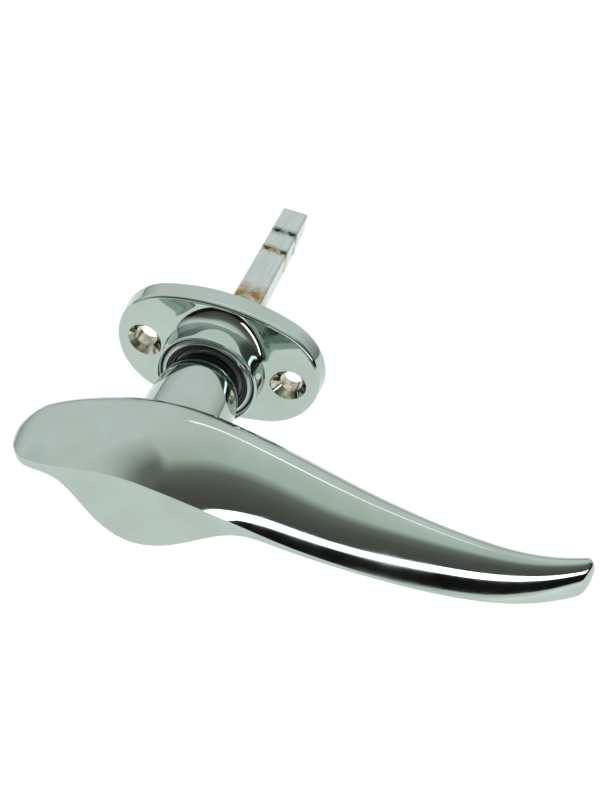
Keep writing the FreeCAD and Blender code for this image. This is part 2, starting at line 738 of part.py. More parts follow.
def leverSection(body, entry):
    """One leaning ellipse of the lever, on a plane across the lever."""
    name, place, height, depth, lean, lift, travel = entry
    reach = "lever_reach" if place > 0 else "nose_reach"
    if travel <= 1 or place < 0:
        forward = f"hub_forward + {travel} * (bow_forward - hub_forward)"
    else:
        forward = f"bow_forward + {travel - 1} * (tip_forward - bow_forward)"
    sketch = newSketch(body, f"section_{name}", "YZ_Plane")
    turn = FreeCAD.Rotation(Z_AXIS, -lean)
    sketch.AttachmentOffset = FreeCAD.Placement(FreeCAD.Vector(), turn)
    sketch.setExpression("AttachmentOffset.Base.x", sheetText(f"-({forward})"))
    sketch.setExpression("AttachmentOffset.Base.y", sheetText(f"{lift} * hub_half_height"))
    sketch.setExpression("AttachmentOffset.Base.z", sheetText(f"{place} * {reach}"))
    halfHeight = f"{height} * hub_half_height"
    halfDepth = f"{depth} * hub_half_depth"
    top = FreeCAD.Vector(0, valueOf(halfHeight), 0)
    side = FreeCAD.Vector(valueOf(halfDepth), 0, 0)
    shape = sketch.addGeometry(Part.Ellipse(top, side, FreeCAD.Vector()))
    sketch.exposeInternalGeometry(shape)
    sketch.addConstraint(Sketcher.Constraint("Coincident", shape, 3, ROOT_POINT, 1))
    sketch.addConstraint(Sketcher.Constraint("Vertical", shape + 1))
    for line, half in ((shape + 1, halfHeight), (shape + 2, halfDepth)):
        length = Sketcher.Constraint("Distance", line, 2 * valueOf(half))
        index = sketch.addConstraint(length)
        sketch.setExpression(f"Constraints[{index}]", sheetText(f"2 * {half}"))
    return sketch


def makeLever():
    """Lever, nose, lobe, shank and journal: one casting."""
    # the sections face -X, so the loft runs from the tip to the nose
    body = newBody("lever_handle")
    sketches = [leverSection(body, entry) for entry in LEVER_SECTIONS]
    loft = body.newObject("PartDesign::AdditiveLoft", "lever")
    loft.Profile = sketches[-1]
    loft.Sections = sketches[-2::-1]
    DOC.recompute()
    ringBack = "o_ring_forward - o_ring_wire / 2"
    ringFront = "o_ring_forward + o_ring_wire / 2"
    turned(body, "shank", [
        ("0", "journal_end"),
        ("journal_radius - 0.4", "journal_end"),
        ("journal_radius", "(clip_back + journal_end) / 2"),
        ("journal_radius", "clip_back"),
        ("journal_radius - clip_depth", "clip_back"),
        ("journal_radius - clip_depth", "clip_front"),
        ("journal_radius", "clip_front"),
        ("journal_radius", ringBack),
        ("journal_radius - o_ring_wire", ringBack),
        ("journal_radius - o_ring_wire", ringFront),
        ("journal_radius", ringFront),
        ("journal_radius", "shoulder_back"),
        ("shoulder_radius", "shoulder_back"),
        ("shank_mouth_radius - 0.4", "web_front + seal_height - 0.4"),
        ("shank_mouth_radius", "collar_height + 0.5"),
        ("shank_radius - 2 * shank_flare / 5", "collar_height + 4"),
        ("shank_radius", "collar_height + 9"),
        ("shank_radius + 0.3", "hub_root - 6"),
        ("hub_root_radius", "hub_root"),
        ("hub_root_radius - 1", "hub_forward"),
        ("0", "hub_forward"),
    ])
    DOC.recompute()
    lobe = faceSketch(body, "lobe_outline", "lobe_forward - lobe_depth")
    lobeOutline(lobe)
    padded(body, "lobe", lobe, "lobe_depth")
    DOC.recompute()
    flats = faceSketch(body, "journal_flats_outline", "journal_end")
    for side in ("-", ""):
        polygon(flats, [
            (f"{side}journal_flats / 2", "-journal_radius"),
            (f"{side}journal_radius * 1.5", "-journal_radius"),
            (f"{side}journal_radius * 1.5", "journal_radius"),
            (f"{side}journal_flats / 2", "journal_radius"),
        ])
    pocketed(body, "journal_flats", flats, "drive_front - journal_end")
    bore = faceSketch(body, "square_bore_outline", "journal_end")
    half = "(spindle_square / 2)"
    polygon(bore, [
        (f"-{half}", f"-{half}"), (half, f"-{half}"), (half, half), (f"-{half}", half),
    ])
    pocketed(body, "square_bore", bore, "spindle_seat - journal_end")
    pinHole(body, "shank_pin_hole")


def lobeOutline(sketch):
    """A round lobe below the hub's middle, closed by a straight top inside the lever."""
    centre = FreeCAD.Vector(-valueOf("lobe_offset"), -valueOf("lobe_drop"), 0)
    whole = Part.Circle(centre, Z_AXIS, valueOf("lobe_radius"))
    arc = sketch.addGeometry(Part.ArcOfCircle(whole, math.pi, 2 * math.pi))
    left = FreeCAD.Vector(centre.x - whole.Radius, centre.y, 0)
    right = FreeCAD.Vector(centre.x + whole.Radius, centre.y, 0)
    rise = FreeCAD.Vector(0, valueOf("lobe_drop"), 0)
    sketch.addGeometry(Part.LineSegment(right, right + rise))
    sketch.addGeometry(Part.LineSegment(right + rise, left + rise))
    sketch.addGeometry(Part.LineSegment(left + rise, left))
    for number in range(4):
        after = (number + 1) % 4
        sketch.addConstraint(Sketcher.Constraint("Coincident", arc + number, 2, after, 1))
    middle = Sketcher.Constraint("DistanceY", ROOT_POINT, 1, arc, 3, centre.y)
    index = sketch.addConstraint(middle)
    sketch.setExpression(f"Constraints[{index}]", sheetText("-lobe_drop"))
    corners = [
        ("-lobe_offset - lobe_radius", "-lobe_drop"),
        ("-lobe_offset + lobe_radius", "-lobe_drop"),
        ("-lobe_offset + lobe_radius", "0"),
        ("-lobe_offset - lobe_radius", "0"),
    ]
    for number, (x, z) in enumerate(corners):
        placePoint(sketch, number, 1, x, z)


def makeORing():
    ringShape = DOC.addObject("Part::Torus", "o_ring")
    ringShape.Label = "o_ring"
    wire = "(o_ring_wire / 2)"
    ringShape.setExpression("Radius1", sheetText(f"journal_radius - {wire}"))
    ringShape.setExpression("Radius2", sheetText(wire))
    ringShape.Placement = FreeCAD.Placement(FreeCAD.Vector(), FreeCAD.Rotation(X_AXIS, 90))
    ringShape.setExpression("Placement.Base.y", sheetText("-o_ring_forward"))


NODES = [
    "rose", "bearing_bush", "mouth_seal", "mouth_ring", "back_plate", "back_plate_rivets",
    "stop_pins", "return_spring", "lever_handle", "spindle", "spindle_pin", "o_ring",
    "thrust_washer", "drive_washer", "disc_spring", "flat_washer", "circlip",
]


def checkAndWrite():
    DOC.recompute()
    for item in DOC.Objects:
        if {"Invalid", "Error"} & set(item.State):
            raise ValueError(f"{item.Name} failed: {item.State}")
    os.makedirs("parts", exist_ok=True)
    shapes = {}
    for label in NODES:
        item = DOC.getObjectsByLabel(label)[0]
        shape = item.Shape
        if shape.isNull() or not shape.isValid() or not shape.Solids:
            raise ValueError(f"{label} has no valid solid")
        shapes[label] = shape
    for label, shape in shapes.items():
        shape.exportStep(os.path.join("parts", f"{label}.step"))
        print(label, "solids", len(shape.Solids), "volume", round(shape.Volume, 1))


fillSheet()
makeRose()
makeBush()
makeMouthPieces()
makeBackPlate()
makeStopPins()
makeReturnSpring()
makeEndStack()
makeDriveWasher()
ring("thrust_washer", "bush_inner", "thrust_washer_radius",
     "flange_front + face_clearance", "shoulder_back - face_clearance")
makeLever()
makeSpindle()
makeSpindlePin()
makeORing()
checkAndWrite()
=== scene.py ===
# A chromed lever on an oval rose, with its square spindle and the small parts inside.
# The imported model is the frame. Lengths in the dictionaries are millimetres.
import math

import bmesh
import bpy
import numpy as np
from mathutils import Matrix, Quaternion, Vector


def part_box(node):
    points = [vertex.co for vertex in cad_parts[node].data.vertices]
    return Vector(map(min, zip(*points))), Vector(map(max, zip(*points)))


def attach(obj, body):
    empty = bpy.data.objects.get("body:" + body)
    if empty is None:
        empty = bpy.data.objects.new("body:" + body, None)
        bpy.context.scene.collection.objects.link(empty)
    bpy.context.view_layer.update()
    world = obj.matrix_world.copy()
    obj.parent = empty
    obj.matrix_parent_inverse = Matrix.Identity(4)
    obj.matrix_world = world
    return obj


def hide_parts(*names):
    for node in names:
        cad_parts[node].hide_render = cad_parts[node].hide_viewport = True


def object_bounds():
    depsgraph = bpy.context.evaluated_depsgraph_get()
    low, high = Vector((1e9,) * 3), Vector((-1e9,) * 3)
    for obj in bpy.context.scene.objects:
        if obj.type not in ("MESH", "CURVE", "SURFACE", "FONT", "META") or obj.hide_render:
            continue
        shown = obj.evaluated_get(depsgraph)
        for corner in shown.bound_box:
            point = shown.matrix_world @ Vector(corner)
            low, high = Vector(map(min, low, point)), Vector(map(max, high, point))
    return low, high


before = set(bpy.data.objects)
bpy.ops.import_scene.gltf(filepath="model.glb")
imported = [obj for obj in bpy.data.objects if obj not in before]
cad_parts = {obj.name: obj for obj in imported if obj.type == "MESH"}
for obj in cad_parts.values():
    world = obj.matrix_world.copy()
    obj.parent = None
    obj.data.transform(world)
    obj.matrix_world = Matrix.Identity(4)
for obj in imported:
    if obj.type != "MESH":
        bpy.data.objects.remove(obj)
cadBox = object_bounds()
mm = 0.001
print("frame loaded:", len(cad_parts), "nodes")


def hexColour(text):  # an sRGB hex colour, turned to linear light
    values = [int(text[i:i + 2], 16) / 255 for i in (1, 3, 5)]
    linear = [v / 12.92 if v <= 0.04045 else ((v + 0.055) / 1.055) ** 2.4 for v in values]
    return (*linear, 1.0)


def grey(level):
    return (level, level, level, 1.0)


def perMm(size):  # a texture's scale, from the size of one blotch in millimetres
    return 1 / (size * mm)


def feed(tree, node, inputs):
    # an input is a constant, a socket, a node's first live output, or a list of those
    for key, given in inputs.items():
        socket = next((s for s in node.inputs if s.enabled and s.name == key),
                      node.inputs[key])
        for value in given if isinstance(given, list) else [given]:
            if isinstance(value, bpy.types.Node):
                value = next(s for s in value.outputs if s.enabled)
            if isinstance(value, bpy.types.NodeSocket):
                tree.links.new(value, socket)
            else:
                socket.default_value = value


def addNode(tree, kind, inputs=None, stops=None, **settings):
    # stops are a colour ramp's (position, colour) pairs
    node = tree.nodes.new(kind)
    for key, value in settings.items():
        setattr(node, key, value)
    feed(tree, node, inputs or {})
    if stops:
        elements = node.color_ramp.elements
        while len(elements) > 1:
            elements.remove(elements[-1])
        elements[0].position, elements[0].color = stops[0]
        for position, colour in stops[1:]:
            elements.new(position).color = colour
    return node


def startMaterial(name, constants=None):
    material = bpy.data.materials.new(name)
    material.use_nodes = True
    tree = material.node_tree
    tree.nodes.clear()
    shader = addNode(tree, "ShaderNodeBsdfPrincipled", constants)
    addNode(tree, "ShaderNodeOutputMaterial", {"Surface": shader})
    place = addNode(tree, "ShaderNodeTexCoord").outputs["Object"]
    return material, tree, shader, place


def toneAndGloss(tree, pattern, look, glossPattern=None):
    # a pattern runs the colour through the tones and the roughness between two values
    colour = addNode(tree, "ShaderNodeValToRGB", {"Fac": pattern},
                     [(level, hexColour(tone)) for level, tone in look["tones"]])
    low, high = look.get("span", (0.0, 1.0))  # the part of the pattern that moves the gloss
    rough = addNode(tree, "ShaderNodeMapRange",
                    {"Value": glossPattern or pattern, "From Min": low, "From Max": high,
                     "To Min": look["rough"][0], "To Max": look["rough"][1]})
    return colour, rough


def finishMaterial(tree, shader, colour, rough, height=None, depth=0.0):
    # depth is the bump's height in millimetres
    feed(tree, shader, {"Base Color": colour, "Roughness": rough})
    if height is not None:
        bump = addNode(tree, "ShaderNodeBump",
                       {"Height": height, "Strength": 1.0, "Distance": depth * mm})
        feed(tree, shader, {"Normal": bump})


# in each look, the tones stand at levels of the pattern, and bump is a height
chromeLook = {
    "tones": ((0.35, "#B2C1BC"), (0.75, "#A9B6AC")),  # clean plate, then a hand's film
    "span": (0.42, 0.72), "rough": (0.035, 0.11), "smearSize": 14.0,
    "speckSize": 0.7, "speckLevels": (0.70, 0.76), "speckRough": 0.05,
    "waveSize": 7.0, "bump": 0.006,
}


def makeChrome():
    # bright chromium over polished zinc: a clear mirror with faint hand smears and specks
    look = chromeLook
    material, tree, shader, place = startMaterial("mirrorChromePlate", {"Metallic": 1.0})
    smear = addNode(tree, "ShaderNodeTexNoise",
                    {"Vector": place, "Scale": perMm(look["smearSize"]),
                     "Detail": 4.0, "Roughness": 0.55})
    colour, gloss = toneAndGloss(tree, smear, look)
    speck = addNode(tree, "ShaderNodeTexNoise",
                    {"Vector": place, "Scale": perMm(look["speckSize"]), "Detail": 2.0})
    none, full = look["speckLevels"]
    specks = addNode(tree, "ShaderNodeValToRGB", {"Fac": speck},
                     [(none, grey(0.0)), (full, grey(1.0))])
    dulled = addNode(tree, "ShaderNodeMath", {0: specks, 1: look["speckRough"]},
                     operation="MULTIPLY")
    rough = addNode(tree, "ShaderNodeMath", {0: gloss, 1: dulled}, operation="ADD")
    wave = addNode(tree, "ShaderNodeTexNoise",
                   {"Vector": place, "Scale": perMm(look["waveSize"]),
                    "Detail": 1.0, "Roughness": 0.3})
    finishMaterial(tree, shader, colour, rough, wave, look["bump"])
    return material


# the dark gold tone here is a painted reflection for the walls of the screw sinks
sinkReflectionLook = {
    "tones": ((0.3, "#6A6348"), (0.6, "#CBCBBC")), "span": (0.3, 0.7),
    "rough": (0.05, 0.12), "blotchSize": 1.9, "bump": 0.01,
}


def makeSinkReflectionPaint():
    # in the screw sinks: a painted dark gold reflection, in blotches over plain pale plate
    look = sinkReflectionLook
    material, tree, shader, place = startMaterial("paintedSinkReflection", {"Metallic": 1.0})
    blotch = addNode(tree, "ShaderNodeTexNoise",
                     {"Vector": place, "Scale": perMm(look["blotchSize"]), "Detail": 3.0})
    colour, rough = toneAndGloss(tree, blotch, look)
    finishMaterial(tree, shader, colour, rough, blotch, look["bump"])
    return material


spindleLook = {
    "tones": ((0.35, "#B4BFBB"), (0.62, "#C3CECA")), "span": (0.3, 0.7),
    "rough": (0.14, 0.3), "drawSize": 0.35, "drawStretch": 0.03, "bump": 0.008,
    "stainSize": 2.4, "stainLevels": ((0.36, 0.15), (0.62, 1.0)), "stainSpread": 1.25,
    # how far behind the rose's back each stain sits, how far it reaches, and its colour
    "stains": ((21.0, 5.5, "#8C7236"), (46.1, 2.2, "#8C7236"), (57.1, 2.2, "#2C5246")),
}


def stainAt(tree, along, centre, reach, patch):
    # a soft band across the bar, broken up by the patch pattern
    offset = addNode(tree, "ShaderNodeMath", {0: along, 1: centre * mm},
                     operation="SUBTRACT")
    away = addNode(tree, "ShaderNodeMath", {0: offset}, operation="ABSOLUTE")
    share = addNode(tree, "ShaderNodeMath", {0: away, 1: reach * mm}, operation="DIVIDE")
    near = addNode(tree, "ShaderNodeMath", {0: spindleLook["stainSpread"], 1: share},
                   operation="SUBTRACT", use_clamp=True)
    return addNode(tree, "ShaderNodeMath", {0: near, 1: patch},
                   operation="MULTIPLY", use_clamp=True)


def makeSpindleSteel():
    # drawn square bar, flash plated: fine lines along it, brown stain where oil has sat
    look = spindleLook
    material, tree, shader, place = startMaterial("drawnBarFlashPlated", {"Metallic": 1.0})
    along = addNode(tree, "ShaderNodeSeparateXYZ", {"Vector": place}).outputs["Y"]
    stretched = addNode(tree, "ShaderNodeMapping",
                        {"Vector": place, "Scale": (1.0, look["drawStretch"], 1.0)})
    lines = addNode(tree, "ShaderNodeTexNoise",
                    {"Vector": stretched, "Scale": perMm(look["drawSize"]), "Detail": 3.0})
    colour, rough = toneAndGloss(tree, lines, look)
    blotch = addNode(tree, "ShaderNodeTexNoise",
                     {"Vector": place, "Scale": perMm(look["stainSize"]),
                      "Detail": 3.0, "Roughness": 0.6})
    patch = addNode(tree, "ShaderNodeValToRGB", {"Fac": blotch},
                    [(level, grey(amount)) for level, amount in look["stainLevels"]])
    for centre, reach, stain in look["stains"]:
        colour = addNode(tree, "ShaderNodeMix",
                         {"Factor": stainAt(tree, along, centre, reach, patch),
                          "A": colour, "B": hexColour(stain)}, data_type="RGBA")
    finishMaterial(tree, shader, colour, rough, lines, look["bump"])
    return material


turnedLook = {
    "tones": ((0.2, "#A4A8AA"), (0.8, "#D2D5D6")), "rough": (0.10, 0.22),
    "pitch": 0.22, "ringsPerUnit": 20, "bump": 0.004,
}


def makeTurnedSteel():
    # turned steel, plated bright: rings a fifth of a millimetre apart round the axis
    look = turnedLook
    material, tree, shader, place = startMaterial("turnedSteelBright", {"Metallic": 1.0})
    wave = addNode(tree, "ShaderNodeTexWave",
                   {"Vector": place, "Scale": perMm(look["pitch"] * look["ringsPerUnit"]),
                    "Distortion": 0.6, "Detail": 2.0},
                   wave_type="RINGS", rings_direction="Y").outputs["Fac"]
    colour, rough = toneAndGloss(tree, wave, look)
    finishMaterial(tree, shader, colour, rough, wave, look["bump"])
    return material


rubberLook = {
    "tones": ((0.4, "#0B0C0E"), (0.8, "#131518")), "rough": (0.22, 0.42),
    "grainSize": 0.5, "bump": 0.01,
}


def makeRubber():
    # moulded nitrile, wiped with grease: deep black with a wet shine
    look = rubberLook
    material, tree, shader, place = startMaterial(
        "greasedBlackRubber", {"IOR": 1.45, "Coat Weight": 0.25, "Coat Roughness": 0.1})
    grain = addNode(tree, "ShaderNodeTexNoise",
                    {"Vector": place, "Scale": perMm(look["grainSize"]), "Detail": 3.0})
    colour, rough = toneAndGloss(tree, grain, look)
    finishMaterial(tree, shader, colour, rough, grain, look["bump"])
    return material


acetalLook = {
    "tones": ((0.35, "#DAD8CE"), (0.65, "#ECEBE4")), "rough": (0.32, 0.5),
    "grainSize": 1.2, "bump": 0.01,
}


def makeAcetal():
    # moulded acetal: waxy off-white with a slight greasy patchiness
    look = acetalLook
    material, tree, shader, place = startMaterial("mouldedAcetal", {"IOR": 1.48})
    grain = addNode(tree, "ShaderNodeTexNoise",
                    {"Vector": place, "Scale": perMm(look["grainSize"]), "Detail": 3.0})
    colour, rough = toneAndGloss(tree, grain, look)
    finishMaterial(tree, shader, colour, rough, grain, look["bump"])
    return material


zincLook = {
    "tones": ((0.38, "#AEB4BC"), (0.66, "#B9B19A")), "rough": (0.24, 0.44),
    "cloudSize": 6.0, "spangleSize": 1.1, "spangleShade": 0.75, "spangleMix": 0.25,
    "bump": 0.006,
}


def makeZincPlate():
    # pressed steel, clear passivated zinc: fine spangle, bluish with straw clouds
    look = zincLook
    material, tree, shader, place = startMaterial("passivatedZincPlate", {"Metallic": 1.0})
    cells = addNode(tree, "ShaderNodeTexVoronoi",
                    {"Vector": place, "Scale": perMm(look["spangleSize"])})
    cloud = addNode(tree, "ShaderNodeTexNoise",
                    {"Vector": place, "Scale": perMm(look["cloudSize"]), "Detail": 3.0})
    colour, rough = toneAndGloss(tree, cloud, look, glossPattern=cells)
    spangle = addNode(tree, "ShaderNodeValToRGB", {"Fac": cells},
                      [(0.0, grey(look["spangleShade"])), (0.9, grey(1.0))])
    colour = addNode(tree, "ShaderNodeMix",
                     {"Factor": look["spangleMix"], "A": colour, "B": spangle},
                     data_type="RGBA", blend_type="MULTIPLY")
    finishMaterial(tree, shader, colour, rough, cells, look["bump"])
    return material


wireLook = {
    "tones": ((0.3, "#4B4A45"), (0.6, "#7F8488")), "rough": (0.25, 0.45),
    "streakSize": 0.72, "bump": 0.006,
}


def makeSpringWire():
    # patented spring wire, lightly oiled: dull grey with streaks from the drawing die
    look = wireLook
    material, tree, shader, place = startMaterial("oiledSpringWire", {"Metallic": 1.0})
    streak = addNode(tree, "ShaderNodeTexNoise",
                     {"Vector": place, "Scale": perMm(look["streakSize"]),
                      "Detail": 4.0, "Roughness": 0.7})
    colour, rough = toneAndGloss(tree, streak, look)
    finishMaterial(tree, shader, colour, rough, streak, look["bump"])
    return material


phosphateLook = {
    "tones": ((0.5, "#1A1B1D"), (0.78, "#4A4C50")), "rough": (0.35, 0.6),
    "grainSize": 0.6, "bump": 0.012,
}


def makePhosphate():
    # phosphated and oiled steel: soft black, scuffed grey where it was sprung on
    look = phosphateLook
    material, tree, shader, place = startMaterial("phosphatedSteel", {"Metallic": 0.85})
    grain = addNode(tree, "ShaderNodeTexNoise",
                    {"Vector": place, "Scale": perMm(look["grainSize"]),
                     "Detail": 4.0, "Roughness": 0.65})
    colour, rough = toneAndGloss(tree, grain, look)
    finishMaterial(tree, shader, colour, rough, grain, look["bump"])
    return material


chrome = makeChrome()
sinkReflectionPaint = makeSinkReflectionPaint()
spindleSteel = makeSpindleSteel()
turnedSteel = makeTurnedSteel()
rubber = makeRubber()
acetal = makeAcetal()
zincPlate = makeZincPlate()
springWire = makeSpringWire()
phosphate = makePhosphate()
print("materials made")


mergeReach = 1e-6    # metres: corners nearer than this become one
shortestEdge = 1e-7  # metres


def meshPiece(name, vertices, faces, materials, smoothAngle=32.0):
    mesh = bpy.data.meshes.new(name)
    mesh.from_pydata([tuple(v) for v in vertices], [], faces)
    for material in materials:
        mesh.materials.append(material)
    piece = bpy.data.objects.new(name, mesh)
    bpy.context.collection.objects.link(piece)
    tidyMesh(mesh, smoothAngle)
    return piece


def tidyMesh(mesh, smoothAngle):
    work = bmesh.new()
    work.from_mesh(mesh)
    bmesh.ops.remove_doubles(work, verts=work.verts, dist=mergeReach)
    bmesh.ops.dissolve_degenerate(work, edges=work.edges, dist=shortestEdge)
    bmesh.ops.recalc_face_normals(work, faces=work.faces)
    limit = math.radians(smoothAngle)
    for edge in work.edges:
        edge.smooth = len(edge.link_faces) == 2 and edge.calc_face_angle(0.0) < limit
    for face in work.faces:
        face.smooth = True
    work.to_mesh(mesh)
    work.free()


def gridFaces(rows, columns, closeRows=False):  # quads of a grid whose columns close round
    faces = []
    for row in range(rows if closeRows else rows - 1):
        for column in range(columns):
            a, b = row * columns, ((row + 1) % rows) * columns
            after = (column + 1) % columns
            faces.append((a + column, a + after, b + after, b + column))
    return faces


def closeEnds(points, rows, columns, faces):  # a fan of faces over the first and last ring
    for start in (0, (rows - 1) * columns):
        pole = len(points)
        points.append(tuple(np.mean(points[start:start + columns], axis=0)))
        faces += [(start + (c + 1) % columns, start + c, pole) for c in range(columns)]


def turnedMesh(profile, columns=128):  # (radius, forward) corners turned round the axis
    angles = [2 * math.pi * column / columns for column in range(columns)]
    vertices = [(radius * math.cos(angle) * mm, -forward * mm, radius * math.sin(angle) * mm)
                for radius, forward in profile for angle in angles]
    return vertices, gridFaces(len(profile), columns, closeRows=True)


def roundedProfile(corners, steps=5):  # (radius, forward, rounding) corners of a closed loop
    result = []
    count = len(corners)
    for index, (x, y, rounding) in enumerate(corners):
        here = Vector((x, y))
        if not rounding:
            result.append((x, y))
            continue
        before = Vector(corners[index - 1][:2])
        after = Vector(corners[(index + 1) % count][:2])
        start = here + (before - here).normalized() * rounding
        finish = here + (after - here).normalized() * rounding
        for step in range(steps + 1):
            t = step / steps
            point = start * (1 - t) ** 2 + here * 2 * t * (1 - t) + finish * t * t
            result.append((point.x, point.y))
    return result


def cutOrJoin(piece, tool, operation):  # a boolean, applied, and the tool thrown away
    modifier = piece.modifiers.new("cut", "BOOLEAN")
    modifier.operation = operation
    modifier.solver = "EXACT"
    modifier.object = tool
    graph = bpy.context.evaluated_depsgraph_get()
    mesh = bpy.data.meshes.new_from_object(piece.evaluated_get(graph), depsgraph=graph)
    piece.modifiers.clear()
    old = piece.data
    piece.data = mesh
    mesh.name = piece.name
    bpy.data.meshes.remove(old)
    bpy.data.objects.remove(tool)


# stations along the lever: where its top, back, bottom, front and crest run
leverShape = {
    "x": [-33.0, -27.0, -20.0, -11.0, 0.0, 10.0, 20.0,
          30.0, 42.0, 56.0, 70.0, 82.0, 91.0, 98.0],
    "top": [0.6, 3.9, 6.4, 9.0, 11.2, 11.9, 10.6,
            8.4, 6.4, 5.4, 4.6, 3.7, 3.1, 2.9],
    "topForward": [43.0, 41.0, 39.0, 37.5, 37.4, 38.9, 39.3,
                   39.2, 40.0, 41.4, 41.7, 40.1, 36.9, 33.4],
    "backForward": [39.8, 37.2, 34.8, 33.0, 32.0, 32.2, 32.2,
                    32.3, 33.5, 35.7, 36.8, 35.9, 33.3, 30.5],
    "bottom": [-5.3, -5.9, -6.2, -14.2, -18.0, -12.9, -5.9,
               -5.7, -6.6, -6.6, -6.1, -5.4, -4.8, -4.0],
    "face": [51.6, 52.4, 53.0, 53.4, 53.4, 53.0, 52.4,
             51.8, 51.2, 50.5, 49.0, 46.2, 42.2, 37.8],
    "crest": [-3.6, -2.6, -1.0, 1.6, 2.2, 0.7, -1.3,
              -3.4, -4.7, -5.0, -4.7, -4.2, -3.7, -3.0],
    "lean": [54.0, 55.0, 55.0, 52.0, 40.0, 33.0, 28.0,
             25.0, 23.5, 23.0, 23.0, 23.0, 23.0, 23.0],  # degrees the face lies back
    "edge": [1.0, 1.0, 1.0, 1.0, 1.0, 0.8, 0.7,
             0.7, 0.7, 0.7, 0.6, 0.6, 0.6, 0.5],
}
leverEnds = {"nose": 5.0, "tip": 2.6, "endSteps": 12, "steps": 170, "firstTurn": 0.02}
# how far the handles of a section's curves reach, as shares of what they span
sectionPull = {
    "crest": 0.6, "topBack": 0.56, "backTop": 0.45, "flat": 0.33, "heel": 0.5,
    "heelRise": 0.35, "rim": 0.6,
}
# where a section's corners lie, from its edge size, depth and lowest point
sectionPlace = {
    "backDrop": 1.1, "backLow": 0.45, "backLeast": 1.5, "rimBack": 1.9, "rimExtra": 1.3,
    "rimRise": 1.6,
}
sectionSteps = (22, 8, 8, 12, 10, 8)  # points on each of the six curves
scoopShape = {
    "x": -10.0, "z": 4.6, "halfLength": 13.0, "halfHeight": 5.6, "depth": 0.9,
    "points": 26, "fade": 1.3, "inwards": 0.75, "downwards": 0.6,
}


def naturalSpline(places, values):  # a natural cubic through the stations
    count = len(places)
    gaps = [places[i + 1] - places[i] for i in range(count - 1)]
    matrix, right = np.zeros((count, count)), np.zeros(count)
    matrix[0, 0] = matrix[-1, -1] = 1
    for i in range(1, count - 1):
        matrix[i, i - 1:i + 2] = gaps[i - 1], 2 * (gaps[i - 1] + gaps[i]), gaps[i]
        right[i] = 3 * ((values[i + 1] - values[i]) / gaps[i]
                        - (values[i] - values[i - 1]) / gaps[i - 1])
    bend = np.linalg.solve(matrix, right)

    def at(place):
        i = min(max(int(np.searchsorted(places, place)) - 1, 0), count - 2)
        t = place - places[i]
        slope = ((values[i + 1] - values[i]) / gaps[i]
                 - gaps[i] * (2 * bend[i] + bend[i + 1]) / 3)
        return (values[i] + slope * t + bend[i] * t * t
                + (bend[i + 1] - bend[i]) / (3 * gaps[i]) * t ** 3)
    return at


def bezier(points, count):  # count points of a cubic, without its last
    t = np.linspace(0, 1, count, endpoint=False)[:, None]
    a, b, c, d = (np.array(p) for p in points)
    return (1 - t) ** 3 * a + 3 * (1 - t) ** 2 * t * b + 3 * (1 - t) * t * t * c + t ** 3 * d


def leverSection(v):  # one closed section, as (height, forward) points from the crest round
    pull, place = sectionPull, sectionPlace
    crest, top = (v["crest"], v["face"]), (v["top"], v["topForward"])
    low, back, edge, face = v["bottom"], v["backForward"], v["edge"], v["face"]
    lean = math.radians(v["lean"])
    meet = crest[1] - math.tan(lean) * (top[0] - crest[0])  # where the two tangents cross
    reach = pull["crest"] * (top[0] - crest[0]) / math.cos(lean)
    depth = top[1] - back
    backTop = (top[0] - depth * place["backDrop"], back)
    backLow = (min(low * place["backLow"], -place["backLeast"]), back)
    bottom = (low, face - edge * place["rimBack"] - place["rimExtra"])
    front = (low + edge * place["rimRise"], face)
    between = (backTop[0] - backLow[0]) * pull["flat"]
    toCrest = crest[0] - front[0]
    curves = (
        (crest, (crest[0] + math.cos(lean) * reach, crest[1] - math.sin(lean) * reach),
         (top[0], top[1] + pull["crest"] * max(meet - top[1], 1.0)), top),
        (top, (top[0], top[1] - depth * pull["topBack"]),
         (backTop[0] + (top[0] - backTop[0]) * pull["backTop"], back), backTop),
        (backTop, (backTop[0] - between, back), (backLow[0] + between, back), backLow),
        (backLow, (backLow[0] - (backLow[0] - low) * pull["heel"], back),
         (low, back + (bottom[1] - back) * pull["heelRise"]), bottom),
        (bottom, (low, face - edge * pull["rim"]), (low + edge * pull["rim"], face), front),
        (front, (front[0] + toCrest * pull["flat"], face),
         (front[0] + toCrest * (1 - pull["flat"]), face), crest),
    )
    return np.vstack([bezier(curve, count) for curve, count in zip(curves, sectionSteps)])


def leverVertices():
    curves = {key: naturalSpline(leverShape["x"], leverShape[key])
              for key in leverShape if key != "x"}
    first, last = leverShape["x"][0], leverShape["x"][-1]
    nose, tip, ends = leverEnds["nose"], leverEnds["tip"], leverEnds["endSteps"]
    turns = np.linspace(leverEnds["firstTurn"], math.pi / 2, ends, endpoint=False)
    places = [first + nose * (1 - math.cos(a)) for a in turns]
    places += list(np.linspace(first + nose, last - tip, leverEnds["steps"]))
    places += [last - tip * (1 - math.cos(a)) for a in turns[::-1]]
    rings = []
    for x in places:
        section = leverSection({key: float(curve(x)) for key, curve in curves.items()})
        middle = section.mean(0)
        beyond = max((first + nose - x) / nose, (x - last + tip) / tip, 0.0)
        section = middle + (section - middle) * math.sqrt(max(1 - beyond ** 2, 0.0))
        rings.append([(x, forward, height) for height, forward in section])
    return np.array(rings)


def sinkScoop(rings):  # a shallow dish for the thumb in the upper face of the nose
    s = scoopShape
    acrossX = (rings[:, :, 0] - s["x"]) / s["halfLength"]
    acrossZ = (rings[:, :, 2] - s["z"]) / s["halfHeight"]
    away = np.clip(1 - acrossX ** 2 - acrossZ ** 2, 0, None)
    upper = np.zeros(rings.shape[1])
    upper[:s["points"]] = 1  # the section's points from the crest to just past the top
    amount = s["depth"] * away ** s["fade"] * upper[None, :]
    rings[:, :, 1] -= amount * s["inwards"]
    rings[:, :, 2] -= amount * s["downwards"]
    return rings


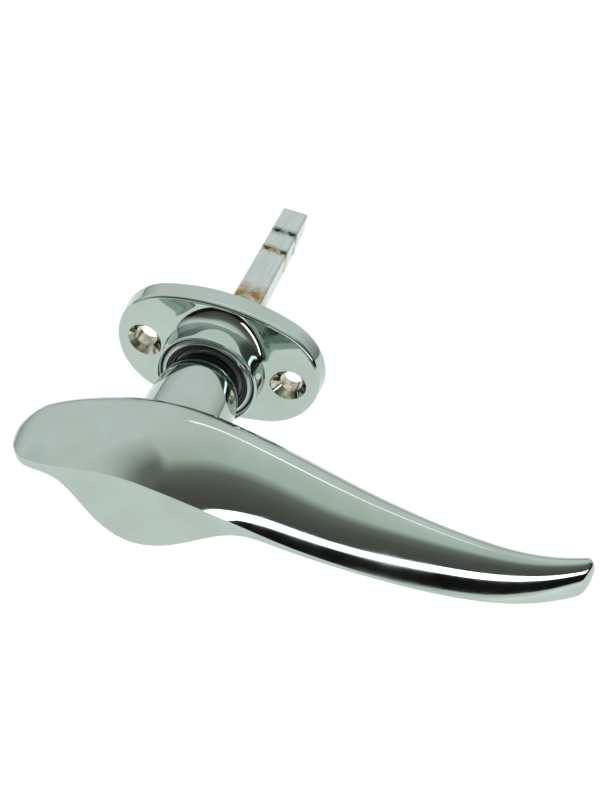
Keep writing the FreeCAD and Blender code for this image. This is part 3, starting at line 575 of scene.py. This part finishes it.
shankShape = {
    "journal": 7.2, "journalEnd": 1.7, "shoulder": 8.0, "shoulderBack": 10.8,
    "mouth": 8.7, "mouthForward": 14.1, "neck": 9.8, "neckForward": 18.6,
    "upper": 10.5, "upperForward": 25.0, "root": 10.6, "rootForward": 31.0,
    "hub": 10.7, "hubForward": 34.6, "inside": 36.0, "hubTaper": 0.6,
    "journalBreak": 0.4, "breakRise": 0.3, "shoulderBreak": 0.2,
    "steps": 40, "columns": 160,
}
boreShape = {"half": 4.0, "back": 1.0, "front": 31.0}  # the square hole for the spindle
leverSmoothAngle = 15.0  # edges sharper than this stay crisp


def makeLever():
    rings = sinkScoop(leverVertices())
    rows, columns = rings.shape[:2]
    points = [(x * mm, -forward * mm, height * mm)
              for x, forward, height in rings.reshape(-1, 3)]
    faces = gridFaces(rows, columns)
    closeEnds(points, rows, columns, faces)
    sharp = leverSmoothAngle
    piece = meshPiece("lever_casting", points, faces, [chrome], sharp)
    s = shankShape
    knots = [(s["shoulder"], s["shoulderBack"] + s["breakRise"]),
             (s["mouth"], s["mouthForward"]), (s["neck"], s["neckForward"]),
             (s["upper"], s["upperForward"]), (s["root"], s["rootForward"]),
             (s["hub"], s["hubForward"])]
    flow = naturalSpline([k[1] for k in knots], [k[0] for k in knots])
    profile = [(0.0, s["journalEnd"]), (s["journal"] - s["journalBreak"], s["journalEnd"]),
               (s["journal"], s["journalEnd"] + s["breakRise"]),
               (s["journal"], s["shoulderBack"]),
               (s["shoulder"] - s["shoulderBreak"], s["shoulderBack"])]
    heights = np.linspace(knots[0][1], s["hubForward"], s["steps"])
    profile += [(float(flow(f)), float(f)) for f in heights]
    profile += [(s["hub"] - s["hubTaper"], s["inside"]), (0.0, s["inside"])]
    shank = meshPiece("shank", *turnedMesh(profile, s["columns"]), [chrome])
    cutOrJoin(piece, shank, "UNION")
    half = boreShape["half"] * mm
    corners = [(x, -boreShape[end] * mm, z) for end in ("back", "front") for x, z in
               ((-half, -half), (half, -half), (half, half), (-half, half))]
    sides = [(0, 1, 2, 3), (4, 5, 6, 7)] + [(i, (i + 1) % 4, 4 + (i + 1) % 4, 4 + i)
                                            for i in range(4)]
    bore = meshPiece("bore", corners, sides, [chrome])
    cutOrJoin(piece, bore, "DIFFERENCE")
    tidyMesh(piece.data, sharp)
    return piece


lever = makeLever()
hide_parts("lever_handle")
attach(lever, "handle")
print("lever made:", len(lever.data.polygons), "faces")


roseShape = {
    "length": 54.6, "width": 35.6, "endRadius": 16.0,
    "rimFoot": 0.35, "rimHeight": 5.0, "rimDraft": 0.9, "draftShare": 0.6, "rimRound": 1.1,
    "faceRise": 0.9, "sweepRadius": 16.6, "sweepHeight": 7.6, "sweepPace": 1.7,
    "sweepCurve": 2.2, "collarRadius": 13.1, "collarHeight": 13.6, "collarDraft": 0.1,
    "lipRound": 0.7, "lipShare": 0.6, "lipEdge": 0.05,
    "mouthRadius": 11.65, "mouthFlare": 0.75, "flareDepth": 2.4, "flareCurve": 0.8,
    "webBack": 7.4, "webFront": 9.4, "boreRadius": 8.8, "chamberRadius": 11.6,
    "plateRadius": 14.35, "plateDepth": 1.2, "smoothAngle": 30.0,
}
roseSteps = {"round": 288, "rim": 5, "rimRound": 8, "sweep": 30, "collar": 8, "lip": 6}
sinkShape = {  # a screw hole: its bore, its cone, and a small break at the face
    "spacing": 38.8, "holeRadius": 2.9, "radius": 4.9, "depth": 2.2, "rise": 0.85,
    "coneIn": 0.3, "coneLow": 0.35, "breakOut": 0.15, "breakHigh": 0.5,
    "below": -1.0, "above": 16.0, "columns": 96,
}


def ovalRadius(angle, length, width, end):
    # distance from the middle to an oval of two end arcs and two flatter side arcs
    half = length / 2 - end
    side = (half ** 2 + (width / 2) ** 2 - end ** 2) / (width - 2 * end)
    c, s = abs(math.cos(angle)), abs(math.sin(angle))
    drop = width / 2 - side
    towards = s * half + c * drop
    toEnd = c * half + math.sqrt(max(end ** 2 - (s * half) ** 2, 0.0))
    toSide = s * drop + math.sqrt(max(side ** 2 - (c * drop) ** 2, 0.0))
    joint = Vector((half, 0)) + (Vector((half, 0)) - Vector((0, drop))).normalized() * end
    return toEnd if math.atan2(s, c) < math.atan2(joint.y, joint.x) else toSide


def roseRings(angles):
    # each ring has one (radius, forward) for every angle, from the back's edge round
    s, steps = roseShape, roseSteps
    outline = [ovalRadius(a, s["length"], s["width"], s["endRadius"]) for a in angles]
    rings = []

    def level(inset, forward):
        rings.append([(r - inset, forward) for r in outline])

    def circleAt(radius, forward):
        rings.append([(radius, forward)] * len(angles))

    level(0.0, 0.0)
    level(0.0, s["rimFoot"])
    draft = s["rimDraft"] * s["draftShare"]
    straight = s["rimHeight"] - s["rimRound"] - s["rimFoot"]
    for step in range(1, steps["rim"] + 1):
        share = step / steps["rim"]
        level(draft * share, s["rimFoot"] + straight * share)
    for step in range(1, steps["rimRound"] + 1):  # the rounded rim edge
        turn = math.pi / 2 * step / steps["rimRound"]
        level(draft + s["rimRound"] * (1 - math.cos(turn)),
              s["rimHeight"] - s["rimRound"] + s["rimRound"] * math.sin(turn))
    inner, foot, collar = draft + s["rimRound"], s["rimHeight"], s["collarRadius"]
    for step in range(1, steps["sweep"] + 1):  # the face, then a sweep up to the collar
        t = step / steps["sweep"]
        ring = []
        for r in outline:
            edge = r - inner
            radius = edge + (collar - edge) * (1 - (1 - t) ** s["sweepPace"])
            run = max(0.0, (edge - radius) / max(edge - collar, 0.1))
            near = max(0.0, 1 - (radius - collar) / (s["sweepRadius"] - collar))
            bend = 1 - math.sqrt(max(0.0, 1 - near ** s["sweepCurve"]))
            rise = s["faceRise"] * run + (s["sweepHeight"] - foot - s["faceRise"]) * bend
            ring.append((radius, foot + rise))
        rings.append(ring)
    top = s["collarHeight"] - s["lipRound"]
    for step in range(1, steps["collar"] + 1):
        share = step / steps["collar"]
        circleAt(collar - s["collarDraft"] * share,
                 s["sweepHeight"] + (top - s["sweepHeight"]) * share)
    for step in range(1, steps["lip"] + 1):  # the rounded lip
        turn = math.pi / 2 * step / steps["lip"]
        inset = s["lipRound"] * (1 - math.cos(turn)) * s["lipShare"]
        circleAt(collar - s["collarDraft"] - inset, top + s["lipRound"] * math.sin(turn))
    flare, mouth = s["mouthRadius"] + s["mouthFlare"], s["collarHeight"] - s["lipEdge"]
    circleAt(flare, mouth)
    for step in range(1, steps["lip"] + 1):  # the mouth narrows as it goes in
        t = step / steps["lip"]
        circleAt(flare - s["mouthFlare"] * math.sin(math.pi / 2 * t) ** s["flareCurve"],
                 mouth - s["flareDepth"] * t)
    inside = (("mouthRadius", "webFront"), ("boreRadius", "webFront"),
              ("boreRadius", "webBack"), ("chamberRadius", "webBack"),
              ("chamberRadius", "plateDepth"), ("plateRadius", "plateDepth"))
    for radius, forward in inside:  # the web, the spring's chamber and the plate's seat
        circleAt(s[radius], s[forward])
    circleAt(s["plateRadius"], 0.0)
    return rings


def sinkTool(side):  # what is cut away for the screw hole on one side
    s = sinkShape
    face = roseShape["rimHeight"] + s["rise"]
    outer = s["radius"] + s["breakOut"]
    profile = [(0.0, s["below"]), (s["holeRadius"], s["below"]),
               (s["holeRadius"], face - s["depth"]),
               (s["radius"] - s["coneIn"], face - s["coneLow"]), (s["radius"], face),
               (outer, face + s["breakHigh"]), (outer, s["above"]), (0.0, s["above"])]
    vertices, faces = turnedMesh(profile, s["columns"])
    vertices = [(x + side * s["spacing"] / 2 * mm, y, z) for x, y, z in vertices]
    tool = meshPiece("sink_tool", vertices, faces, [chrome, sinkReflectionPaint])
    # every face cut by the tool takes the painted dark gold sink reflection
    for polygon in tool.data.polygons:
        polygon.material_index = 1
    return tool


def makeRose():
    columns = roseSteps["round"]
    angles = [2 * math.pi * c / columns for c in range(columns)]
    rings = roseRings(angles)
    points = [(r * math.cos(a) * mm, -f * mm, r * math.sin(a) * mm)
              for ring in rings for a, (r, f) in zip(angles, ring)]
    piece = meshPiece("rose_casting", points, gridFaces(len(rings), columns, True),
                      [chrome, sinkReflectionPaint], roseShape["smoothAngle"])
    for side in (-1, 1):
        cutOrJoin(piece, sinkTool(side), "DIFFERENCE")
    tidyMesh(piece.data, roseShape["smoothAngle"])
    return piece


rose = makeRose()
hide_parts("rose")
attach(rose, "rose")
print("rose made:", len(rose.data.polygons), "faces")


spindleShape = {
    "half": 4.0, "seat": 30.9, "arris": 5.3, "grooveRoot": 4.05, "grooveWidth": 1.6,
    "grooveWall": 0.15, "grooves": (46.1, 57.1), "bevelLength": 15.0, "bevelDepth": 2.4,
    "crownLength": 2.0, "crownTop": 1.5, "crownSide": 0.9, "crownSteps": 8,
    "plain": (0.0, 20.0, 35.0), "bevelPlaces": (14.0, 8.0), "columns": 160,
    "smoothAngle": 20.0,
}


def spindlePlaces(end):  # where along the bar a ring of corners is needed, rose to tip
    s = spindleShape
    places = [-s["seat"], *s["plain"]]
    for groove in s["grooves"]:
        half, wall = s["grooveWidth"] / 2, s["grooveWall"]
        places += [groove - half - wall, groove - half, groove + half, groove + half + wall]
    places += [end - before for before in s["bevelPlaces"]]
    places += [end - s["crownLength"] * (1 - step / s["crownSteps"])
               for step in range(s["crownSteps"] + 1)]
    return sorted(places)


def makeSpindle():  # a square bar whose corners are turned off at the grooves
    s = spindleShape
    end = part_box("spindle")[1][1] / mm
    places, columns, points = spindlePlaces(end), s["columns"], []
    inside = s["grooveWidth"] / 2 + 0.05
    for place in places:
        inGroove = any(abs(place - groove) < inside for groove in s["grooves"])
        limit = s["grooveRoot"] if inGroove else s["arris"]
        past = max(0.0, (place - end + s["bevelLength"]) / s["bevelLength"])
        crown = max(0.0, 1 - (end - place) / s["crownLength"]) ** 2
        side = s["half"] - s["crownSide"] * crown
        top, low = s["half"] - s["crownTop"] * crown, s["half"] - past * s["bevelDepth"]
        for column in range(columns):
            angle = 2 * math.pi * (column + 0.5) / columns
            c, v = math.cos(angle), math.sin(angle)
            reach = min(side / abs(c), (top if v > 0 else low) / abs(v), limit)
            points.append((reach * c * mm, place * mm, reach * v * mm))
    faces = gridFaces(len(places), columns)
    closeEnds(points, len(places), columns, faces)
    return meshPiece("spindle_bar", points, faces, [spindleSteel], s["smoothAngle"])


spindle = makeSpindle()
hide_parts("spindle")
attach(spindle, "handle")
print("spindle made")


mouthShape = {
    "back": 9.4, "wall": 11.1, "outer": 11.65, "top": 12.8, "fit": 0.02, "lip": 0.6,
    "sealInner": 8.75, "sealFoot": 10.7, "hollowRadius": 9.9, "hollowTop": 10.98,
    "columns": 160,
}


def makeMouthRing():  # a thin bright ring, its lip turned in over the seal
    s = mouthShape
    wall, outer, top, lip = s["wall"], s["outer"] - s["fit"], s["top"], s["wall"] - s["lip"]
    corners = [(wall, s["back"], 0), (outer, s["back"], 0), (outer, top - 0.3, 0.25),
               (wall + 0.1, top + 0.25, 0.22), (lip, top + 0.3, 0.16),
               (lip, top - 0.05, 0.1), (wall, top - 0.5, 0.1)]
    return meshPiece("retaining_ring", *turnedMesh(roundedProfile(corners), s["columns"]),
                     [turnedSteel])


def makeMouthSeal():  # a rubber ring with a raised bead and a lip that meets the shank
    s = mouthShape
    wall, top, inner = s["wall"], s["top"], s["sealInner"]
    corners = [(s["sealFoot"], s["back"], 0), (wall - s["fit"], s["back"], 0),
               (wall - s["fit"], top - 0.62, 0.15), (wall - 0.62, top - 0.15, 0.2),
               (wall - 1.1, top + 0.15, 0.3), (wall - 1.55, top - 0.35, 0.3),
               (inner + 0.5, top - 0.2, 0.3), (inner, top - 0.65, 0.2),
               (s["hollowRadius"], s["hollowTop"], 0.1), (s["sealFoot"], s["hollowTop"], 0)]
    return meshPiece("shank_seal", *turnedMesh(roundedProfile(corners), s["columns"]),
                     [rubber])


mouthRing = makeMouthRing()
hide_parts("mouth_ring")
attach(mouthRing, "rose")
mouthSeal = makeMouthSeal()
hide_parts("mouth_seal")
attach(mouthSeal, "rose")
print("mouth ring and seal made")


springShape = {
    "Wire radius": 0.55, "Coil radius": 10.25, "Turns": 2.5, "Pitch": 1.15,
    "Foot forward": 1.8, "Leg forward": 7.1, "Ear reach": 2.8,
}
rivetShape = {"Rivet radius": 0.8, "Rivet length": 4.0, "Rivet circle": 13.0}
growDetail = {"alongCoil": 64, "roundWire": 20, "roundRivet": 40, "smoothAngle": 40.0}


def startTree(name, sizes):  # a tree with one named input for each size
    tree = bpy.data.node_groups.new(name, "GeometryNodeTree")
    for key in sizes:
        tree.interface.new_socket(key, in_out="INPUT", socket_type="NodeSocketFloat")
    tree.interface.new_socket("Geometry", in_out="OUTPUT", socket_type="NodeSocketGeometry")
    return tree, addNode(tree, "NodeGroupInput").outputs


def finishTree(tree, geometry, material):
    real = addNode(tree, "GeometryNodeRealizeInstances", {"Geometry": geometry})
    finish = addNode(tree, "GeometryNodeSetMaterial",
                     {"Geometry": real, "Material": material})
    addNode(tree, "NodeGroupOutput", {"Geometry": finish})


def growPiece(name, tree, sizes, material):
    piece = bpy.data.objects.new(name, bpy.data.meshes.new(name))
    bpy.context.collection.objects.link(piece)
    modifier = piece.modifiers.new("grow", "NODES")
    modifier.node_group = tree
    for item in tree.interface.items_tree:
        if item.in_out == "INPUT":
            modifier[item.identifier] = float(sizes[item.name])
    graph = bpy.context.evaluated_depsgraph_get()
    mesh = bpy.data.meshes.new_from_object(piece.evaluated_get(graph), depsgraph=graph)
    piece.modifiers.clear()
    piece.data = mesh
    mesh.name = name
    mesh.materials.clear()
    mesh.materials.append(material)
    tidyMesh(mesh, growDetail["smoothAngle"])
    return piece


def makeReturnSpring():  # a coil wound about the spindle, with a straight leg at each end
    s = {key: value if key == "Turns" else value * mm for key, value in springShape.items()}
    tree, given = startTree("woundSpring", s)
    radius, quarter = given["Coil radius"], math.pi / 2
    lift = addNode(tree, "ShaderNodeMath", {0: given["Pitch"], 1: given["Turns"]},
                   operation="MULTIPLY")
    earShare = addNode(tree, "ShaderNodeMath", {0: given["Ear reach"], 1: radius},
                       operation="DIVIDE")
    ear = addNode(tree, "ShaderNodeMath", {0: earShare}, operation="ARCSINE")
    wound = addNode(tree, "ShaderNodeMath", {0: given["Turns"], 1: 2 * math.pi},
                    operation="MULTIPLY")
    start = addNode(tree, "ShaderNodeMath", {0: ear, 1: wound}, operation="SUBTRACT")
    spiral = addNode(tree, "GeometryNodeCurveSpiral",
                     {"Resolution": growDetail["alongCoil"], "Rotations": given["Turns"],
                      "Start Radius": radius, "End Radius": radius, "Height": lift,
                      "Reverse": True})
    upright = addNode(tree, "GeometryNodeTransform",
                      {"Geometry": spiral, "Rotation": (quarter, 0, 0)})
    aim = addNode(tree, "ShaderNodeMath", {0: start, 1: quarter}, operation="SUBTRACT")
    turn = addNode(tree, "ShaderNodeCombineXYZ", {"Y": aim})
    foot = addNode(tree, "ShaderNodeMath", {0: given["Foot forward"], 1: -1.0},
                   operation="MULTIPLY")
    shift = addNode(tree, "ShaderNodeCombineXYZ", {"Y": foot})
    coil = addNode(tree, "GeometryNodeTransform",
                   {"Geometry": upright, "Rotation": turn, "Translation": shift})
    top = addNode(tree, "ShaderNodeMath", {0: foot, 1: lift}, operation="SUBTRACT")
    tip = addNode(tree, "ShaderNodeMath", {0: given["Leg forward"], 1: -1.0},
                  operation="MULTIPLY")
    curves = [coil]
    for angle, back, front in ((start, 0.0, foot), (ear, top, tip)):
        sine = addNode(tree, "ShaderNodeMath", {0: angle}, operation="SINE")
        cosine = addNode(tree, "ShaderNodeMath", {0: angle}, operation="COSINE")
        x = addNode(tree, "ShaderNodeMath", {0: sine, 1: radius}, operation="MULTIPLY")
        z = addNode(tree, "ShaderNodeMath", {0: cosine, 1: radius}, operation="MULTIPLY")
        low = addNode(tree, "ShaderNodeCombineXYZ", {"X": x, "Y": back, "Z": z})
        high = addNode(tree, "ShaderNodeCombineXYZ", {"X": x, "Y": front, "Z": z})
        curves.append(addNode(tree, "GeometryNodeCurvePrimitiveLine",
                              {"Start": low, "End": high}))
    join = addNode(tree, "GeometryNodeJoinGeometry", {"Geometry": curves})
    wire = addNode(tree, "GeometryNodeCurvePrimitiveCircle",
                   {"Resolution": growDetail["roundWire"], "Radius": given["Wire radius"]})
    tube = addNode(tree, "GeometryNodeCurveToMesh",
                   {"Curve": join, "Profile Curve": wire, "Fill Caps": True})
    finishTree(tree, tube, springWire)
    return growPiece("coil_spring", tree, s, springWire)


def makeRivets():  # one rivet, repeated above and below the spindle
    s = {key: value * mm for key, value in rivetShape.items()}
    tree, given = startTree("rivetPair", s)
    rivet = addNode(tree, "GeometryNodeMeshCylinder",
                    {"Vertices": growDetail["roundRivet"], "Radius": given["Rivet radius"],
                     "Depth": given["Rivet length"]})
    under = addNode(tree, "ShaderNodeMath", {0: given["Rivet circle"], 1: -1.0},
                    operation="MULTIPLY")
    middle = addNode(tree, "ShaderNodeMath", {0: given["Rivet length"], 1: -0.5},
                     operation="MULTIPLY")
    apart = addNode(tree, "ShaderNodeMath", {0: given["Rivet circle"], 1: 2.0},
                    operation="MULTIPLY")
    first = addNode(tree, "ShaderNodeCombineXYZ", {"Y": middle, "Z": under})
    step = addNode(tree, "ShaderNodeCombineXYZ", {"Z": apart})
    points = addNode(tree, "GeometryNodeMeshLine",
                     {"Count": 2, "Start Location": first, "Offset": step})
    placed = addNode(tree, "GeometryNodeInstanceOnPoints",
                     {"Points": points, "Instance": rivet, "Rotation": (math.pi / 2, 0, 0)})
    finishTree(tree, placed, zincPlate)
    return growPiece("plate_rivets", tree, s, zincPlate)


returnSpring = makeReturnSpring()
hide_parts("return_spring")
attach(returnSpring, "rose")
rivets = makeRivets()
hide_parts("back_plate_rivets")
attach(rivets, "rose")
print("spring and rivets grown")


nodeFinishes = {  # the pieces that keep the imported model's own mesh
    "spindle_pin": turnedSteel,
    "stop_pins": turnedSteel,
    "bearing_bush": acetal,
    "thrust_washer": acetal,
    "back_plate": zincPlate,
    "flat_washer": zincPlate,
    "drive_washer": zincPlate,
    "disc_spring": springWire,
    "o_ring": rubber,
    "circlip": phosphate,
}
for nodeName, finish in nodeFinishes.items():
    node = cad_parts[nodeName]
    if not node.material_slots:
        node.data.materials.append(finish)
    for slot in node.material_slots:
        slot.material = finish
print("carried-over pieces finished")


stageShape = {
    "drop": 0.10, "half": 2.4, "glow": 0.40, "cloudSize": 400.0,
    "tones": ((0.3, "#EFEFED"), (0.7, "#F4F4F2")), "gloss": ((0.3, 0.85), (0.7, 0.9)),
}


def makeFloor():
    s = stageShape
    low = min(cadBox[0][2], cadBox[1][2]) - s["drop"]
    h = s["half"]
    mesh = bpy.data.meshes.new("floor")
    mesh.from_pydata([(-h, -h, low), (h, -h, low), (h, h, low), (-h, h, low)], [],
                     [(0, 1, 2, 3)])
    floor = bpy.data.objects.new("floor", mesh)
    bpy.context.collection.objects.link(floor)
    # a sheet of matt paper that glows a little, so that it stays white
    material, tree, shader, place = startMaterial(
        "paleFloor", {"Emission Color": (1, 1, 1, 1), "Emission Strength": s["glow"]})
    cloud = addNode(tree, "ShaderNodeTexNoise",
                    {"Vector": place, "Scale": perMm(s["cloudSize"]), "Detail": 3.0})
    colour = addNode(tree, "ShaderNodeValToRGB", {"Fac": cloud},
                     [(level, hexColour(tone)) for level, tone in s["tones"]])
    rough = addNode(tree, "ShaderNodeValToRGB", {"Fac": cloud},
                    [(level, grey(amount)) for level, amount in s["gloss"]])
    finishMaterial(tree, shader, colour, rough)
    mesh.materials.append(material)


# a room by elevation, seen in the chrome: black skirting, a dim wall, a pale ceiling
roomLook = {
    "front": [(-90, 0.9), (-3, 0.8), (-2, 0.02), (7, 0.02), (11, 0.17), (30, 0.22),
              (42, 0.32), (48, 0.6), (54, 0.9), (90, 0.98)],
    "back": [(-90, 0.9), (-3, 0.8), (-2, 0.4), (6, 0.7), (25, 0.95), (60, 0.98),
             (90, 0.98)],
    "tint": ((0.6, "#C9BFB4"), (0.92, "#EEF4EC")),
    "paleSide": (-0.6, 0.8, 0.0), "blend": (-0.25, 0.2),  # the pale walls: back and left
    "plain": "#F6F7F5",  # what the camera itself sees behind the floor
}


def makeRoom():
    world = bpy.data.worlds.new("studio")
    bpy.context.scene.world = world
    world.use_nodes = True
    tree = world.node_tree
    tree.nodes.clear()
    direction = addNode(tree, "ShaderNodeTexCoord").outputs["Generated"]
    upwards = addNode(tree, "ShaderNodeSeparateXYZ", {"Vector": direction}).outputs["Z"]
    height = addNode(tree, "ShaderNodeMath", {0: upwards, 1: 0.5, 2: 0.5},
                     operation="MULTIPLY_ADD")  # 0 straight down, 1 straight up
    walls = []
    for side in ("front", "back"):
        stops = [(math.sin(math.radians(angle)) / 2 + 0.5, grey(level))
                 for angle, level in roomLook[side]]
        walls.append(addNode(tree, "ShaderNodeValToRGB", {"Fac": height}, stops))
    across = addNode(tree, "ShaderNodeVectorMath", {0: direction, 1: roomLook["paleSide"]},
                     operation="DOT_PRODUCT").outputs["Value"]
    begins, ends = roomLook["blend"]
    towards = addNode(tree, "ShaderNodeMapRange",
                      {"Value": across, "From Min": begins, "From Max": ends})
    tint = addNode(tree, "ShaderNodeValToRGB", {"Fac": height},
                   [(level, hexColour(tone)) for level, tone in roomLook["tint"]])
    front = addNode(tree, "ShaderNodeMix", {"Factor": 1.0, "A": walls[0], "B": tint},
                    data_type="RGBA", blend_type="MULTIPLY")
    colour = addNode(tree, "ShaderNodeMix", {"Factor": towards, "A": front, "B": walls[1]},
                     data_type="RGBA")
    room = addNode(tree, "ShaderNodeBackground", {"Color": colour, "Strength": 1.0})
    plain = addNode(tree, "ShaderNodeBackground", {"Color": hexColour(roomLook["plain"])})
    seen = addNode(tree, "ShaderNodeLightPath").outputs["Is Camera Ray"]
    both = addNode(tree, "ShaderNodeMixShader", {"Fac": seen, 1: room, 2: plain})
    addNode(tree, "ShaderNodeOutputWorld", {"Surface": both})


lampAim = (20.0, -40.0, 0.0)
lamps = {  # azimuth, elevation and distance of each soft panel, its size and its power
    "strip": {"turn": 38.5, "lift": 13.0, "away": 1.5, "wide": 2.2, "tall": 0.17,
              "watts": 5.4, "colour": "#F2F4FF"},
    "slimTop": {"turn": 180.0, "lift": 66.0, "away": 1.6, "wide": 1.2, "tall": 0.07,
                "watts": 0.6, "colour": "#FFF6E4"},
}


def makeLamps():
    for name, s in lamps.items():
        light = bpy.data.lights.new(name, "AREA")
        light.shape = "RECTANGLE"
        light.size, light.size_y = s["wide"], s["tall"]
        light.energy = s["watts"]
        light.color = hexColour(s["colour"])[:3]
        lamp = bpy.data.objects.new(name, light)
        turn, lift = math.radians(s["turn"]), math.radians(s["lift"])
        ray = Vector((math.sin(turn) * math.cos(lift), -math.cos(turn) * math.cos(lift),
                      math.sin(lift)))
        lamp.location = Vector(lampAim) * mm + ray * s["away"]
        lamp.rotation_mode = "QUATERNION"
        lamp.rotation_quaternion = ray.to_track_quat("Z", "Y")
        bpy.context.collection.objects.link(lamp)


cameraPlace = {
    "at": (38.3, -176.3, 145.4), "looks": (26.9, -50.0, 35.4), "roll": 14.3,
    "lens": 40.5, "sensor": 36.0, "nearest": 0.01,
}


def makeCamera():
    s = cameraPlace
    data = bpy.data.cameras.new("camera")
    data.lens, data.sensor_width, data.clip_start = s["lens"], s["sensor"], s["nearest"]
    camera = bpy.data.objects.new("camera", data)
    camera.location = Vector(s["at"]) * mm
    ray = (Vector(s["looks"]) - Vector(s["at"])) * mm
    camera.rotation_mode = "QUATERNION"
    camera.rotation_quaternion = (ray.to_track_quat("-Z", "Y")
                                  @ Quaternion((0, 0, 1), math.radians(s["roll"])))
    bpy.context.collection.objects.link(camera)
    bpy.context.scene.camera = camera


makeFloor()
makeRoom()
makeLamps()
makeCamera()
bpy.context.scene.view_settings.view_transform = "Standard"
print("floor, light and camera set")
